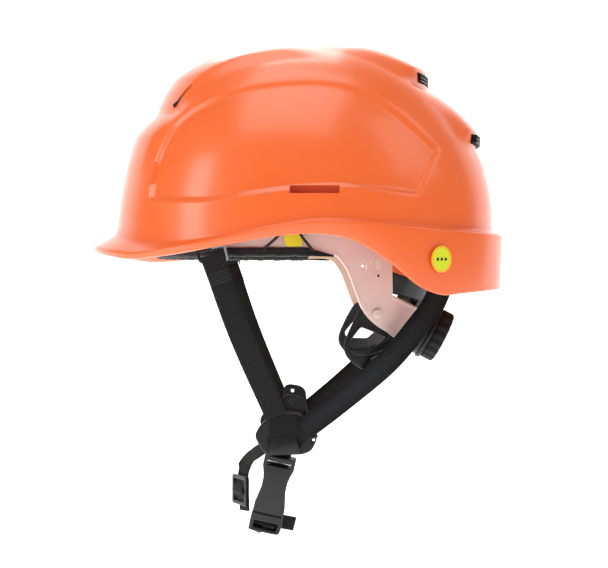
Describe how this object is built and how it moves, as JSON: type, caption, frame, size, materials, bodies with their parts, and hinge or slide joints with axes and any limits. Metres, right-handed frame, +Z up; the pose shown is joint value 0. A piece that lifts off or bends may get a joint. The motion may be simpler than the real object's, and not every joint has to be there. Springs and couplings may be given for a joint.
{
  "type": "arborist helmet",
  "caption": "Short-peak climbing helmet with textile suspension, translucent headband, ratchet nape adjuster and a buckled four-leg chin strap.",
  "frame": {"origin": "centre of the wearer's head at the headband, on the level of the shell's side edge", "axes": "+Z up, -Y to the front (peak), +X to the wearer's left"},
  "size_m": [0.2176, 0.2823, 0.3373],
  "materials": {
    "orange_shell": "moulded, glossy",
    "yellow_badge": "printed film",
    "translucent_band": "translucent moulded band",
    "yellow_liner": "satin low-friction sheet",
    "sweat_foam": "knitted cover over foam",
    "nape_foam": "foam pad with fabric face",
    "spring_steel": "spring wire",
    "knob_rubber": "soft-touch grip",
    "hook_grey": "satin",
    "black_acetal": "satin moulded",
    "black_webbing": "woven polyester",
    "black_mesh": "matte",
    "black_nylon": "satin moulded"
  },
  "bodies": {
    "root": {"shell": "orange_shell", "round_badge": "yellow_badge", "front_vent_insert_left": "black_mesh", "front_vent_insert_right": "black_mesh", "rear_vent_upper_insert": "black_mesh", "rear_vent_lower_insert": "black_mesh", "headband": "translucent_band", "sweatband": "sweat_foam", "clip_front_left": "black_nylon", "clip_front_right": "black_nylon", "clip_side_left": "black_nylon", "clip_side_right": "black_nylon", "clip_rear_left": "black_nylon", "clip_rear_right": "black_nylon", "crown_strap_left": "black_webbing", "crown_strap_right": "black_webbing", "crown_strap_middle": "black_webbing", "side_sling_left": "black_webbing", "side_sling_right": "black_webbing", "front_strap_hook_left": "hook_grey", "front_strap_left": "black_webbing", "front_strap_fold_left": "black_webbing", "rear_strap_left": "black_webbing", "front_strap_hook_right": "hook_grey", "front_strap_right": "black_webbing", "front_strap_fold_right": "black_webbing", "rear_strap_right": "black_webbing", "strap_hanger_left": "black_acetal", "hanger_rivet_left": "black_nylon", "strap_hanger_right": "black_acetal", "hanger_rivet_right": "black_nylon", "nape_cradle": "black_nylon", "nape_pad": "nape_foam", "ratchet_housing": "black_nylon", "ratchet_cover": "black_nylon", "detent_spring": "spring_steel", "nape_arm_left": "black_nylon", "nape_arm_right": "black_nylon", "strap_divider_left": "black_acetal", "strap_divider_right": "black_acetal", "buckle_socket": "black_acetal", "socket_loop": "black_webbing", "chin_strap_upper": "black_webbing"},
    "knob": {"nape_knob": "knob_rubber", "knob_spindle": "black_nylon"},
    "rack_l": {"rack_left": "black_nylon"},
    "rack_r": {"rack_right": "black_nylon"},
    "liner": {"low_friction_liner": "yellow_liner"},
    "cam_l": {"cam_lock_left": "black_acetal"},
    "cam_r": {"cam_lock_right": "black_acetal"},
    "plug": {"buckle_plug": "black_acetal", "chin_strap_loop": "black_webbing", "chin_strap_end": "black_webbing"},
    "arm_rear": {"squeeze_arm_rear": "black_acetal"},
    "arm_front": {"squeeze_arm_front": "black_acetal"},
    "slider": {"strap_slider": "black_acetal"}
  },
  "joints": [
    {"name": "knob_turn", "type": "hinge", "parent": "root", "child": "knob", "pos_m": [0, 0.1005, -0.069], "axis": [0, 0.8902, -0.4555], "range_deg": [-286, 183]},
    {"name": "rack_left_travel", "type": "hinge", "parent": "root", "child": "rack_l", "pos_m": [0, 0.01281, -0.02413], "axis": [0, -0.4555, -0.8902], "range_deg": [-18.5, 11.9]},
    {"name": "rack_right_travel", "type": "hinge", "parent": "root", "child": "rack_r", "pos_m": [0, 0.01281, -0.02413], "axis": [0, 0.4555, 0.8902], "range_deg": [-18.5, 11.9]},
    {"name": "liner_slip", "type": "hinge", "parent": "root", "child": "liner", "pos_m": [0, 0.004, 0], "axis": [0, 0, 1], "range_deg": [-5, 5], "stiffness_Nm_per_rad": 0.5},
    {"name": "cam_left_open", "type": "hinge", "parent": "root", "child": "cam_l", "pos_m": [0.0544, -0.01, -0.1424], "axis": [0, 1, 0], "range_deg": [0, 80]},
    {"name": "cam_right_open", "type": "hinge", "parent": "root", "child": "cam_r", "pos_m": [-0.0544, -0.01, -0.1424], "axis": [0, -1, 0], "range_deg": [0, 80]},
    {"name": "buckle_release", "type": "slide", "parent": "root", "child": "plug", "axis": [-0.2134, -0.2134, -0.9534], "range_m": [0, 0.028]},
    {"name": "squeeze_rear", "type": "hinge", "parent": "plug", "child": "arm_rear", "pos_m": [0.03678, -0.01438, -0.18355], "axis": [0.977, -0.0466, -0.2083], "range_deg": [0, 6], "stiffness_Nm_per_rad": 0.3},
    {"name": "squeeze_front", "type": "hinge", "parent": "plug", "child": "arm_front", "pos_m": [0.03678, -0.02726, -0.18066], "axis": [-0.977, 0.0466, 0.2083], "range_deg": [0, 6], "stiffness_Nm_per_rad": 0.3},
    {"name": "slider_shift", "type": "slide", "parent": "root", "child": "slider", "axis": [-0.0728, -0.0233, 0.9971], "range_m": [-0.004, 0.004]}
  ],
  "couplings": [
    {"joint": "rack_left_travel", "follows": "knob_turn", "ratio": 0.0643},
    {"joint": "rack_right_travel", "follows": "knob_turn", "ratio": 0.0643}
  ]
}
